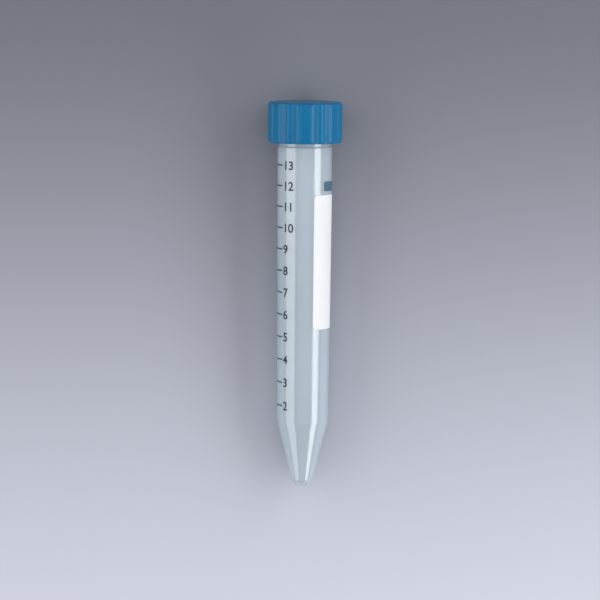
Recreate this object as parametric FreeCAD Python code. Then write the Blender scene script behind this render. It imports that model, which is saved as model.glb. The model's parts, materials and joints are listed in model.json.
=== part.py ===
import FreeCAD, Part
import math
import os

# A capped 15 ml conical centrifuge tube, lying on its side as it comes to rest.
#
# Every piece is first built upright: the tube's axis is Z, the tip is at z = 0 and the printed
# front faces -Y. lay_down() at the end then turns them all together, so that the front faces up,
# the cap points along +Y, and the cap's ribs and the tube's shoulder both touch the ground.
# Angles round the tube are in degrees from the printed front, positive towards +X.
# Millimetres throughout.

# Tube: one moulding, a thin wall with a conical end and an outside thread.
TUBE_LENGTH = 117.5  # tip to rim
SEAT_DIAMETER = 16.9  # straight band below the cap, which a rack's hole takes
SEAT_LENGTH = 13.8
SHOULDER_DIAMETER = 15.9  # where the drafted barrel meets the cone
SHOULDER_HEIGHT = 20.5
SHOULDER_BLEND = 4.0
TIP_RADIUS = 3.5
BARREL_WALL = 1.4
CONE_WALL = 1.1
NECK_DIAMETER = 16.4
NECK_SHOWN = 1.4  # bare neck between the seat and the cap's lower edge
NECK_BEVEL = 0.15
RIM_ROUNDING = 0.3

# Thread: the same ridge section outside the neck and inside the cap.
THREAD_PITCH = 3.0
RIDGE_HEIGHT = 0.75
RIDGE_BASE = 1.5
RIDGE_CREST = 0.6
RIDGE_ROOTING = 0.3  # how far a ridge's section reaches into the wall that carries it
NECK_RIDGE_TO_RIM = 1.7
NECK_RIDGE_TO_SEAT = 1.8
CAP_RIDGE_TO_MOUTH = 1.2
CAP_RIDGE_TO_LINER = 2.0
CREST_CLEARANCE = 0.2  # from a ridge's crest to the wall it faces
FLANK_CLEARANCE = 0.15  # between the two ridges along the axis, with the cap closed

# Screw cap and the sealing liner in its ceiling.
CAP_DIAMETER = 23.2  # over the ribs
CAP_HEIGHT = 12.5
CAP_TOP = 1.4
CAP_TOP_ROUNDING = 1.2
CAP_EDGE_BEVEL = 0.5
CAP_MOUTH_BEVEL = 0.4
RIB_COUNT = 20  # few enough that the lying tube stays on two of them
RIB_HEIGHT = 0.3
RIB_BASE = 2.2
RIB_CREST = 0.25
LINER_THICKNESS = 1.0
LINER_CLEARANCE = 0.35  # all round, to the cap's bore

# Print: thin layers of ink on the outside of the tube.
INK_THICKNESS = 0.05
INK_CLEARANCE = 0.05  # from the tube's wall to a layer's inner face
FIRST_MARK_ML = 2
MARK_LINE = 0.35
MARK_FROM = -88.0
MARK_TO = -53.0
PANEL_FROM = 21.0
PANEL_TO = 97.0
PANEL_BELOW_SEAT = 0.7
PANEL_LENGTH = 41.5
PANEL_CORNER = 1.2
BAR_FROM = 45.0
BAR_TO = 86.0
BAR_ABOVE_SEAT_EDGE = 0.5
BAR_LENGTH = 3.0
BAR_CORNER = 0.5

ORIGIN = FreeCAD.Vector(0, 0, 0)
X_AXIS = FreeCAD.Vector(1, 0, 0)
Z_AXIS = FreeCAD.Vector(0, 0, 1)
FRONT = -90.0  # degrees from +X to the printed front of the upright tube
BACK = 90.0  # and to the line opposite, which is the lowest once the tube lies down
CUBIC_MM_PER_ML = 1000.0
SCRAP_MARGIN = 1.0  # how far a trimming tool reaches past what it trims

# Heights and radii that follow from the sizes above.
NECK_RADIUS = NECK_DIAMETER / 2
SEAT_RADIUS = SEAT_DIAMETER / 2
SHOULDER_RADIUS = SHOULDER_DIAMETER / 2
CAP_BORE_RADIUS = NECK_RADIUS + RIDGE_HEIGHT + CREST_CLEARANCE
CEILING_HEIGHT = TUBE_LENGTH + LINER_THICKNESS
CAP_TOP_HEIGHT = CEILING_HEIGHT + CAP_TOP
CAP_MOUTH_HEIGHT = CAP_TOP_HEIGHT - CAP_HEIGHT
SEAT_HIGH = CAP_MOUTH_HEIGHT - NECK_SHOWN
SEAT_LOW = SEAT_HIGH - SEAT_LENGTH
RIB_CREST_RADIUS = CAP_DIAMETER / 2
SKIRT_RADIUS = RIB_CREST_RADIUS - RIB_HEIGHT


def at(r, z):
    """The point of a section at radius r and height z."""
    return FreeCAD.Vector(r, 0, z)


def polar(r, degrees, z=0.0):
    """The point at radius r and an angle from +X, at height z."""
    angle = math.radians(degrees)
    return FreeCAD.Vector(r * math.cos(angle), r * math.sin(angle), z)


def arc_edge(centre_z, radius, start, end):
    """A section's arc about a point of the axis, between two angles from +X in radians."""

    def point(angle):
        return at(radius * math.cos(angle), centre_z + radius * math.sin(angle))

    return Part.Arc(point(start), point((start + end) / 2), point(end)).toShape()


def rounded_path(corners):
    """Edges through (r, z, rounding) corners. The first and last are plain ends."""
    edges = []
    last = at(*corners[0][:2])
    for before, corner, after in zip(corners, corners[1:], corners[2:]):
        point = at(*corner[:2])
        back = (at(*before[:2]) - point).normalize()
        ahead = (at(*after[:2]) - point).normalize()
        rounding = corner[2]
        if rounding == 0:
            edges.append(Part.makeLine(last, point))
            last = point
            continue
        half = back.getAngle(ahead) / 2
        start = point + back * (rounding / math.tan(half))
        end = point + ahead * (rounding / math.tan(half))
        middle = point + (back + ahead).normalize() * (rounding / math.sin(half) - rounding)
        edges.append(Part.makeLine(last, start))
        edges.append(Part.Arc(start, middle, end).toShape())
        last = end
    edges.append(Part.makeLine(last, at(*corners[-1][:2])))
    return edges


def closed_corners(corners):
    """The closed section through (r, z) corners."""
    points = [at(r, z) for r, z in corners]
    return Part.Face(Part.makePolygon(points + points[:1]))


def turned(section):
    """A section turned right round the axis."""
    return section.revolve(ORIGIN, Z_AXIS, 360)


def cone_half_angle():
    """Half the angle of the cone through the shoulder's corner that touches the tip's ball."""
    rise = SHOULDER_HEIGHT - TIP_RADIUS
    reach = math.hypot(SHOULDER_RADIUS, rise)
    return math.acos(TIP_RADIUS / reach) - math.atan2(rise, SHOULDER_RADIUS)


def draft():
    """How much the barrel's radius grows for each millimetre of height."""
    return (SEAT_RADIUS - SHOULDER_RADIUS) / (SEAT_LOW - SHOULDER_HEIGHT)


def barrel_radius(z):
    """The tube's outside radius at a height on the drafted barrel or the seat."""
    return SHOULDER_RADIUS + draft() * (min(z, SEAT_LOW) - SHOULDER_HEIGHT)


def bore_radius(z):
    """The tube's inside radius at a height above the cone: one draft, up to the rim."""
    return SHOULDER_RADIUS - BARREL_WALL + draft() * (z - SHOULDER_HEIGHT)


def bore_foot():
    """Radius and height of the corner where the bore meets the inside of the cone."""
    angle = cone_half_angle()
    inside_cone = SHOULDER_RADIUS - CONE_WALL / math.cos(angle)
    drop = (inside_cone - bore_radius(SHOULDER_HEIGHT)) / (math.tan(angle) - draft())
    height = SHOULDER_HEIGHT - drop
    return bore_radius(height), height


def tip_touch(radius):
    """Radius and height where a tip ball of this radius meets its cone."""
    angle = cone_half_angle()
    return radius * math.cos(angle), TIP_RADIUS - radius * math.sin(angle)


def make_tube():
    angle = cone_half_angle()
    inner_tip = TIP_RADIUS - CONE_WALL
    foot_radius, foot_height = bore_foot()
    neck_low = SEAT_HIGH + NECK_BEVEL + SEAT_RADIUS - NECK_RADIUS
    rim_bore = bore_radius(TUBE_LENGTH)
    edges = [arc_edge(TIP_RADIUS, TIP_RADIUS, -math.pi / 2, -angle)]
    edges += rounded_path(
        [
            (*tip_touch(TIP_RADIUS), 0),
            (SHOULDER_RADIUS, SHOULDER_HEIGHT, SHOULDER_BLEND),
            (SEAT_RADIUS, SEAT_LOW, 0),
            (SEAT_RADIUS, SEAT_HIGH, 0),
            (NECK_RADIUS, neck_low, 0),
            (NECK_RADIUS, TUBE_LENGTH, RIM_ROUNDING),
            (rim_bore, TUBE_LENGTH, RIM_ROUNDING),
            (foot_radius, foot_height, SHOULDER_BLEND),
            (*tip_touch(inner_tip), 0),
        ]
    )
    edges.append(arc_edge(TIP_RADIUS, inner_tip, -angle, -math.pi / 2))
    edges.append(Part.makeLine(at(0, CONE_WALL), ORIGIN))
    wall = turned(Part.Face(Part.Wire(edges)))
    return wall.fuse(make_neck_ridge()).removeSplitter()


def ridge_width_at(wall_radius, crest_radius, radius):
    """How thick a ridge is along the axis, at a radius between its wall and its crest."""
    share = (radius - wall_radius) / (crest_radius - wall_radius)
    return RIDGE_BASE + (RIDGE_CREST - RIDGE_BASE) * share


def make_ridge(wall_radius, crest_radius, low, turns, start_degrees):
    """A ridge wound round the axis, rising from the height low at its middle."""
    inward = 1 if crest_radius > wall_radius else -1
    rooted = wall_radius - inward * RIDGE_ROOTING
    root_width = ridge_width_at(wall_radius, crest_radius, rooted)
    section = Part.makePolygon(
        [
            at(rooted, -root_width / 2),
            at(crest_radius, -RIDGE_CREST / 2),
            at(crest_radius, RIDGE_CREST / 2),
            at(rooted, root_width / 2),
            at(rooted, -root_width / 2),
        ]
    )
    path = Part.makeHelix(THREAD_PITCH, THREAD_PITCH * turns, wall_radius)
    ridge = Part.Wire(path).makePipeShell([section], True, True)
    ridge.rotate(ORIGIN, Z_AXIS, start_degrees)
    ridge.translate(FreeCAD.Vector(0, 0, low))
    return ridge


def neck_ridge_low():
    """Height of the middle of the neck's ridge where it starts, at angle 0 from +X."""
    return SEAT_HIGH + NECK_RIDGE_TO_SEAT + RIDGE_BASE / 2


def make_neck_ridge():
    high = TUBE_LENGTH - NECK_RIDGE_TO_RIM - RIDGE_BASE / 2
    turns = (high - neck_ridge_low()) / THREAD_PITCH
    return make_ridge(NECK_RADIUS, NECK_RADIUS + RIDGE_HEIGHT, neck_ridge_low(), turns, 0)


def make_cap_ridge():
    """The cap's ridge, which lies just under the neck's when the cap is closed."""
    crest = CAP_BORE_RADIUS - RIDGE_HEIGHT
    shared = (NECK_RADIUS + CAP_BORE_RADIUS) / 2
    neck_half = ridge_width_at(NECK_RADIUS, NECK_RADIUS + RIDGE_HEIGHT, shared) / 2
    cap_half = ridge_width_at(CAP_BORE_RADIUS, crest, shared) / 2
    below_neck_ridge = neck_half + cap_half + FLANK_CLEARANCE
    low = CAP_MOUTH_HEIGHT + CAP_RIDGE_TO_MOUTH + RIDGE_BASE / 2
    high = TUBE_LENGTH - CAP_RIDGE_TO_LINER - RIDGE_BASE / 2
    turns = (high - low) / THREAD_PITCH
    start = 360 * (low + below_neck_ridge - neck_ridge_low()) / THREAD_PITCH
    return make_ridge(CAP_BORE_RADIUS, crest, low, turns, start)


def half_angle(width, radius):
    """Half the angle, in degrees, that a width takes up on a circle."""
    return math.degrees(math.asin(width / 2 / radius))


def ribbed_disc():
    """The cap's outline from above: tapered ribs, two of them astride the lowest line."""
    pitch = 360 / RIB_COUNT
    foot = half_angle(RIB_BASE, SKIRT_RADIUS)
    crest = half_angle(RIB_CREST, RIB_CREST_RADIUS)
    edges = []
    for rib in range(RIB_COUNT):
        middle = BACK + (rib + 0.5) * pitch
        start = polar(SKIRT_RADIUS, middle - foot)
        rise = polar(RIB_CREST_RADIUS, middle - crest)
        top = polar(RIB_CREST_RADIUS, middle)
        fall = polar(RIB_CREST_RADIUS, middle + crest)
        end = polar(SKIRT_RADIUS, middle + foot)
        valley = polar(SKIRT_RADIUS, middle + pitch / 2)
        next_start = polar(SKIRT_RADIUS, middle + pitch - foot)
        edges.append(Part.makeLine(start, rise))
        edges.append(Part.Arc(rise, top, fall).toShape())
        edges.append(Part.makeLine(fall, end))
        edges.append(Part.Arc(end, valley, next_start).toShape())
    return Part.Face(Part.Wire(edges))


def make_cap():
    ribbed = ribbed_disc().extrude(FreeCAD.Vector(0, 0, CAP_HEIGHT))
    ribbed.translate(FreeCAD.Vector(0, 0, CAP_MOUTH_HEIGHT))
    envelope = rounded_path(
        [
            (0, CAP_MOUTH_HEIGHT, 0),
            (RIB_CREST_RADIUS - CAP_EDGE_BEVEL, CAP_MOUTH_HEIGHT, 0),
            (RIB_CREST_RADIUS, CAP_MOUTH_HEIGHT + CAP_EDGE_BEVEL, 0),
            (RIB_CREST_RADIUS, CAP_TOP_HEIGHT, CAP_TOP_ROUNDING),
            (0, CAP_TOP_HEIGHT, 0),
        ]
    )
    envelope.append(Part.makeLine(at(0, CAP_TOP_HEIGHT), at(0, CAP_MOUTH_HEIGHT)))
    body = ribbed.common(turned(Part.Face(Part.Wire(envelope))))
    cavity = closed_corners(
        [
            (0, CAP_MOUTH_HEIGHT),
            (CAP_BORE_RADIUS + CAP_MOUTH_BEVEL, CAP_MOUTH_HEIGHT),
            (CAP_BORE_RADIUS, CAP_MOUTH_HEIGHT + CAP_MOUTH_BEVEL),
            (CAP_BORE_RADIUS, CEILING_HEIGHT),
            (0, CEILING_HEIGHT),
        ]
    )
    return body.cut(turned(cavity)).fuse(make_cap_ridge()).removeSplitter()


def make_liner():
    radius = CAP_BORE_RADIUS - LINER_CLEARANCE
    return Part.makeCylinder(radius, LINER_THICKNESS, at(0, TUBE_LENGTH), Z_AXIS)


def printed(low, high, start, end):
    """A field of ink on the barrel between two heights and two angles from the front."""
    heights = [low, high]
    if low < SEAT_LOW < high:
        heights.insert(1, SEAT_LOW)
    inside = [(barrel_radius(z) + INK_CLEARANCE, z) for z in heights]
    outside = [(r + INK_THICKNESS, z) for r, z in inside]
    field = closed_corners(outside + inside[::-1]).revolve(ORIGIN, Z_AXIS, end - start)
    field.rotate(ORIGIN, Z_AXIS, FRONT + start)
    return field


def corner_scrap(angle, z, rounding, side, rise):
    """What is trimmed off a printed field's corner that lies to one side, above or below."""
    size = rounding + SCRAP_MARGIN
    inner = barrel_radius(z) - SCRAP_MARGIN
    block = Part.makeBox(
        2 * SCRAP_MARGIN,
        size,
        size,
        FreeCAD.Vector(inner, min(0, side * size), min(0, rise * size)),
    )
    kept = Part.makeCylinder(rounding, 2 * SCRAP_MARGIN, FreeCAD.Vector(inner, 0, 0), X_AXIS)
    scrap = block.cut(kept)
    inset = math.degrees(rounding / barrel_radius(z))
    scrap.rotate(ORIGIN, Z_AXIS, FRONT + angle - side * inset)
    scrap.translate(FreeCAD.Vector(0, 0, z - rise * rounding))
    return scrap


def rounded_print(low, high, start, end, rounding):
    """A printed field with its four corners rounded."""
    scraps = [
        corner_scrap(angle, z, rounding, side, rise)
        for angle, side in ((start, -1), (end, 1))
        for z, rise in ((low, -1), (high, 1))
    ]
    return printed(low, high, start, end).cut(scraps)


def frustum(low_radius, high_radius, height):
    """Volume of a slice of a cone."""
    squares = low_radius**2 + low_radius * high_radius + high_radius**2
    return math.pi * height * squares / 3


def volume_below(z):
    """What the tube holds up to a height on the barrel, in cubic millimetres."""
    ball = TIP_RADIUS - CONE_WALL
    touch_radius, touch_height = tip_touch(ball)
    foot_radius, foot_height = bore_foot()
    cup = touch_height - CONE_WALL
    in_tip = math.pi * cup**2 * (3 * ball - cup) / 3
    in_cone = frustum(touch_radius, foot_radius, foot_height - touch_height)
    return in_tip + in_cone + frustum(foot_radius, bore_radius(z), z - foot_height)


def level_height(millilitres):
    """The height that so much liquid reaches, found by halving."""
    low, high = bore_foot()[1], TUBE_LENGTH
    for _ in range(50):
        middle = (low + high) / 2
        if volume_below(middle) < millilitres * CUBIC_MM_PER_ML:
            low = middle
        else:
            high = middle
    return (low + high) / 2


def make_graduations():
    """One short line for each whole millilitre below the neck, each a separate solid."""
    lines = []
    last_mark_ml = int(volume_below(SEAT_HIGH - MARK_LINE) / CUBIC_MM_PER_ML)
    for millilitres in range(FIRST_MARK_ML, last_mark_ml + 1):
        middle = level_height(millilitres)
        low = middle - MARK_LINE / 2
        lines.append(printed(low, low + MARK_LINE, MARK_FROM, MARK_TO))
    return Part.Compound(lines)


def make_panel():
    """The white field to write on."""
    high = SEAT_LOW - PANEL_BELOW_SEAT
    return rounded_print(high - PANEL_LENGTH, high, PANEL_FROM, PANEL_TO, PANEL_CORNER)


def make_bar():
    """A plain coloured bar above the white field."""
    low = SEAT_LOW + BAR_ABOVE_SEAT_EDGE
    return rounded_print(low, low + BAR_LENGTH, BAR_FROM, BAR_TO, BAR_CORNER)


def rest_tilt():
    """How far the cap end is raised when the ribs and the shoulder both touch, in radians."""
    nearest_crest = math.pi / RIB_COUNT - math.radians(half_angle(RIB_CREST, RIB_CREST_RADIUS))
    rib_reach = RIB_CREST_RADIUS * math.cos(nearest_crest)
    # The shoulder's blend is a ring of this section radius about this ring of centres.
    half_turn = (cone_half_angle() - math.atan(draft())) / 2
    inward = cone_half_angle() - half_turn
    depth = SHOULDER_BLEND / math.cos(half_turn)
    centre_radius = SHOULDER_RADIUS - depth * math.cos(inward)
    centre_height = SHOULDER_HEIGHT + depth * math.sin(inward)
    along = CAP_MOUTH_HEIGHT + CAP_EDGE_BEVEL - centre_height
    across = rib_reach - centre_radius
    return math.atan2(across, along) - math.asin(SHOULDER_BLEND / math.hypot(along, across))


def lay_down(pieces):
    """Turns the upright pieces onto the ground, with the middle of their footprint at 0, 0."""
    turn = FreeCAD.Rotation(X_AXIS, math.degrees(rest_tilt()) - BACK)
    laid = Part.Compound(list(pieces.values()))
    laid.transformShape(FreeCAD.Placement(ORIGIN, turn).toMatrix())
    box = laid.optimalBoundingBox(False, False)
    centre = FreeCAD.Vector(-box.Center.x, -box.Center.y, -box.ZMin)
    place = FreeCAD.Placement(centre, turn)
    for shape in pieces.values():
        shape.transformShape(place.toMatrix())
    return place


PIECES = {
    "tube": make_tube(),
    "screw_cap": make_cap(),
    "sealing_liner": make_liner(),
    "writing_panel": make_panel(),
    "colour_bar": make_bar(),
    "graduation_lines": make_graduations(),
}

lay_down(PIECES)
os.makedirs("parts", exist_ok=True)
for node, shape in PIECES.items():
    shape.exportStep(f"parts/{node}.step")
    print(f"{node}: {len(shape.Solids)} solids, {shape.Volume:.1f} mm3, valid {shape.isValid()}")
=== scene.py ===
import json
import math

import bmesh
import bpy
from bpy.props import FloatProperty, FloatVectorProperty, IntProperty, PointerProperty
from bpy.types import Operator, Panel, PropertyGroup
from mathutils import Matrix, Vector


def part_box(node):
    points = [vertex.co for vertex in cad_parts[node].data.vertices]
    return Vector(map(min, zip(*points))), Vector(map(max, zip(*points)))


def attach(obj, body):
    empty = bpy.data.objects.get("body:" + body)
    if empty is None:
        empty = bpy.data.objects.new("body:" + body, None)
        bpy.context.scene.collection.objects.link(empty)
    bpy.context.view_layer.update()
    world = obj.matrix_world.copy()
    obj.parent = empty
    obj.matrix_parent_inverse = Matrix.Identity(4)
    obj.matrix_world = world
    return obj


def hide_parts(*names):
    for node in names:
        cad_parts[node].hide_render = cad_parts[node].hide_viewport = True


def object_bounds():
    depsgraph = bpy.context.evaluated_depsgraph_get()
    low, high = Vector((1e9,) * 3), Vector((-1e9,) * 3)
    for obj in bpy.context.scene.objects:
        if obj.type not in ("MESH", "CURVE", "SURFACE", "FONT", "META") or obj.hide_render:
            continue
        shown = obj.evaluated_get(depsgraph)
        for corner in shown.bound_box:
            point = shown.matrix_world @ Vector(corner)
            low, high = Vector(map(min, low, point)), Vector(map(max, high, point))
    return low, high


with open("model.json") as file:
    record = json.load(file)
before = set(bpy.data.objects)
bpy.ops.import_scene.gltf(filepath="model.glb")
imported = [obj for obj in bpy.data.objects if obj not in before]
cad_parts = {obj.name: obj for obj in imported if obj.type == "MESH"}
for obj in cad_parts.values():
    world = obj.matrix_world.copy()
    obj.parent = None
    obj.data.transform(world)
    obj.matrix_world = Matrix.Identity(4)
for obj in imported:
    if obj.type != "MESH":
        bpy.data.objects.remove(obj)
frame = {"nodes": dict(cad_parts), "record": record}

bl_info = {
    "name": "Conical tube, 15 ml",
    "version": (1, 0, 0),
    "blender": (4, 5, 0),
    "location": "3D View > Sidebar > Tube",
    "description": "Models the looks of a screw-capped 15 ml conical tube on its CAD frame",
    "category": "Object",
}

# Everything is modelled upright, with the tip at the origin, the axis along Z and the printed
# front towards -Y, and then laid on its side as the frame is. Metres and radians throughout.

CAD_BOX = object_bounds()
BEHAVIOUR = frame["record"]["behaviour"]
JOINTS = {joint["name"]: joint for joint in BEHAVIOUR["joints"]}
LIFT_PER_RADIAN = BEHAVIOUR["couplings"][0]["ratio"]
TIP_BALL = 0.0035  # radius of the ball that closes the cone
ALONG = Vector(JOINTS["cap_turn"]["axis"]).normalized()
ACROSS = Vector((1, 0, 0))
BACK = ALONG.cross(ACROSS)
ON_AXIS = Vector(JOINTS["cap_turn"]["pos_m"])
BALL_CENTRE = ON_AXIS + ALONG * ((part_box("tube")[0].y + TIP_BALL - ON_AXIS.y) / ALONG.y)
TIP = BALL_CENTRE - ALONG * TIP_BALL
LAY_DOWN = Matrix.Translation(TIP) @ Matrix((ACROSS, BACK, ALONG)).transposed().to_4x4()
STAND_UP = LAY_DOWN.inverted()
QUARTER = math.pi / 2  # stands a flat sheet up to face the front

HAIR = 1e-5  # closer than this counts as the same place
MERGE = 1e-6  # points closer than this become one
MICROMETRES = 6  # decimals of a metre that tell rings of points apart
SAME_COLUMN = 0.1  # share of a column's width within which a point belongs to it
CORNER_STEP = math.radians(8)  # widest turn of one face of a rounding
LEAST_STEPS = 3  # fewest faces of a rounding
CORNER_ROOM = 0.97  # share of the shorter side that a rounding may take up
FIELD_CORNER_STEPS = 6  # faces of a printed field's rounded corner
THREAD_COLUMNS = 96  # faces in one turn of a thread
RUN_OUT_STEPS = 4  # faces over which a ridge's end sinks into its wall
RUN_OUT_TURN = math.radians(5)  # turn of each of them
RUN_OUT_DEPTH = 0.006  # share of the wall's radius that the end lies under the wall
GATE_REACH = 0.0003  # a gate mark's faces lie this close to the end of the piece
GATE_EDGE = 1 / 6  # share of a gate mark's radius that its sloped edge takes up


def upright_points(node):
    """A CAD node's points, with the tube stood on its tip."""
    return [STAND_UP @ vertex.co for vertex in frame["nodes"][node].data.vertices]


def height_span(node):
    """A CAD node's lowest and highest point along the tube."""
    heights = [point.z for point in upright_points(node)]
    return min(heights), max(heights)


def angle_span(node):
    """The angles round the tube, from its front, that a CAD node lies between."""
    angles = [math.atan2(point.x, -point.y) for point in upright_points(node)]
    return min(angles), max(angles)


def mark_heights(gap=0.001):
    """The middle height of each graduation line of the frame, lowest first."""
    heights = sorted(point.z for point in upright_points("graduation_lines"))
    groups = [[heights[0]]]
    for height in heights[1:]:
        if height - groups[-1][-1] > gap:
            groups.append([])
        groups[-1].append(height)
    return [(group[0] + group[-1]) / 2 for group in groups]


TUBE_LENGTH = height_span("tube")[1]
CAP_MOUTH, CAP_TOP = height_span("screw_cap")
CAP_RADIUS = max(point.to_2d().length for point in upright_points("screw_cap"))
LINER_RADIUS = max(point.to_2d().length for point in upright_points("sealing_liner"))
BARE_TUBE = [point for point in upright_points("tube") if point.z < CAP_MOUTH]
SEAT_RADIUS = max(point.to_2d().length for point in BARE_TUBE)
SEAT_RING = [point.z for point in BARE_TUBE if point.to_2d().length > SEAT_RADIUS - HAIR]
PANEL_HEIGHTS, PANEL_ANGLES = height_span("writing_panel"), angle_span("writing_panel")
BAR_HEIGHTS, BAR_ANGLES = height_span("colour_bar"), angle_span("colour_bar")
MARK_ANGLES = angle_span("graduation_lines")


def linear(red, green, blue):
    """A screen colour from 0 to 255 as the linear colour that shaders take."""
    shares = [part / 255 for part in (red, green, blue)]
    return tuple(s / 12.92 if s <= 0.04045 else ((s + 0.055) / 1.055) ** 2.4 for s in shares)


def length(name, description, default):
    """A length in metres that a user may change."""
    return FloatProperty(
        name=name, description=description, default=default, min=0, precision=5,
        subtype="DISTANCE", unit="LENGTH",
    )


def angle(name, description, default):
    """An angle that a user may change."""
    return FloatProperty(
        name=name, description=description, default=default, subtype="ANGLE", unit="ROTATION"
    )


def colour(name, description, default):
    """A linear colour that a user may change."""
    return FloatVectorProperty(
        name=name, description=description, default=default, size=3, min=0, max=1,
        subtype="COLOR",
    )


def watts(name, description, default):
    """A light's power that a user may change."""
    return FloatProperty(
        name=name, description=description, default=default, min=0, unit="POWER"
    )


def share(name, description, default):
    """A factor from 0 to 1 that a user may change."""
    return FloatProperty(
        name=name, description=description, default=default, min=0, max=1, subtype="FACTOR"
    )


class TubeSizes(PropertyGroup):
    """The moulded tube."""

    length: length("Length", "From the tip to the rim", TUBE_LENGTH)
    seat_radius: length("Seat radius", "Of the straight band below the cap", SEAT_RADIUS)
    seat_low: length("Seat foot", "Height at which the straight band starts", min(SEAT_RING))
    seat_high: length("Seat top", "Height at which the straight band ends", max(SEAT_RING))
    shoulder_radius: length("Shoulder radius", "Where the barrel meets the cone", 0.00795)
    shoulder_height: length("Shoulder height", "Where the barrel meets the cone", 0.0205)
    shoulder_blend: length("Shoulder blend", "Radius of that corner", 0.004)
    tip_radius: length("Tip radius", "Of the ball that closes the cone", TIP_BALL)
    barrel_wall: length("Barrel wall", "Thickness of the barrel", 0.0014)
    cone_wall: length("Cone wall", "Thickness of the cone and the tip", 0.0011)
    neck_radius: length("Neck radius", "Behind the thread", 0.0082)
    edge_rounding: length("Edge rounding", "At the seat's edges", 0.00015)
    rim_rounding: length("Rim rounding", "At the open end", 0.0003)
    gate_radius: length("Gate radius", "Of the moulding mark under the tip", 0.0005)
    gate_depth: length("Gate depth", "Of the moulding mark under the tip", 0.00008)
    columns: IntProperty(name="Columns", description="Faces round the tube", default=128, min=32)


class ThreadSizes(PropertyGroup):
    """The ridges outside the neck and inside the cap."""

    pitch: length("Pitch", "Rise in one turn", LIFT_PER_RADIAN * math.tau)
    ridge: length("Ridge height", "Out from its wall", 0.00075)
    base: length("Ridge base", "Width at its wall", 0.0015)
    crest: length("Ridge crest", "Width at its crest", 0.0006)
    rooting: length("Rooting", "How far a ridge reaches into its wall", 0.0002)
    neck_low: length("Neck ridge", "Height of its middle where it starts", 0.10875)
    neck_turns: FloatProperty(
        name="Neck turns", description="Turns of the neck's ridge", default=2.0, min=0
    )
    cap_low: length("Cap ridge", "Height of its middle where it starts", 0.10955)
    cap_turns: FloatProperty(
        name="Cap turns", description="Turns of the cap's ridge", default=1.63, min=0
    )
    crest_clearance: length("Crest clearance", "From a crest to the wall it faces", 0.0002)
    clearance: length("Clearance", "Between the two ridges with the cap closed", 0.00015)


class CapSizes(PropertyGroup):
    """The screw cap and the liner in its ceiling."""

    radius: length("Radius", "Over the ribs", CAP_RADIUS)
    mouth: length("Mouth height", "Height of the cap's lower edge", CAP_MOUTH)
    top: length("Top height", "Height of the cap's flat top", CAP_TOP)
    top_rounding: length("Top rounding", "Round the flat top", 0.0012)
    edge_bevel: length("Edge bevel", "Outside the lower edge", 0.0005)
    mouth_bevel: length("Mouth bevel", "Inside the lower edge", 0.0004)
    ribs: IntProperty(name="Ribs", description="Grip ribs round the skirt", default=20, min=12)
    rib_height: length("Rib height", "Out from the skirt", 0.0003)
    rib_crest: length("Rib crest", "Width of a rib's crest", 0.0001)
    rib_base: length("Rib base", "Width of a rib where it leaves the skirt", 0.0022)
    rib_columns: IntProperty(name="Rib columns", description="Faces across one rib", default=20)
    gate_radius: length("Gate radius", "Of the moulding mark on the top", 0.0009)
    gate_depth: length("Gate depth", "Of the moulding mark on the top", 0.00012)
    liner_radius: length("Liner radius", "Of the foam disc", LINER_RADIUS)
    liner_rounding: length("Liner rounding", "Round the foam disc's edges", 0.0002)


class PrintSizes(PropertyGroup):
    """The fields, lines and numerals printed on the barrel."""

    ink: length("Ink thickness", "Of every printed layer", 0.00005)
    sunk: length("Sunk", "How far a layer's back lies inside the wall", 0.00001)
    panel_corner: length("Panel corner", "Of the white writing panel", 0.0012)
    bar_corner: length("Bar corner", "Of the coloured bar", 0.0005)
    line: length("Line width", "Of a graduation line", 0.00035)
    line_corner: length("Line corner", "Of a graduation line's ends", 0.0001)
    numeral_size: length("Numeral size", "Of the type", 0.0038)
    numeral_weight: length("Numeral weight", "Added all round each stroke", 0.00005)
    numeral_left: angle("Numeral start", "Where the numerals start, from the front", -0.87)
    strip: angle("Strip", "Widest flat part of a printed layer", math.radians(4))
    first_mark: IntProperty(name="First mark", description="Millilitres", default=2)


class Finishes(PropertyGroup):
    """Colours of the plastics, the foam and the inks, and the gloss of the inks."""

    tube: colour("Tube", "Milky polypropylene", linear(226, 240, 252))
    cap: colour("Cap", "Blue polyethylene", linear(2, 109, 157))
    liner: colour("Liner", "Pale foam", linear(222, 224, 222))
    white_ink: colour("White ink", "Of the writing panel", linear(244, 247, 252))
    teal_ink: colour("Teal ink", "Of the coloured bar", linear(76, 111, 130))
    dark_ink: colour("Dark ink", "Of the lines and numerals", linear(30, 42, 66))
    white_roughness: share("White roughness", "Of the writing panel", 0.5)
    teal_roughness: share("Teal roughness", "Of the coloured bar", 0.42)
    dark_roughness: share("Dark roughness", "Of the lines and numerals", 0.45)


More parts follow.
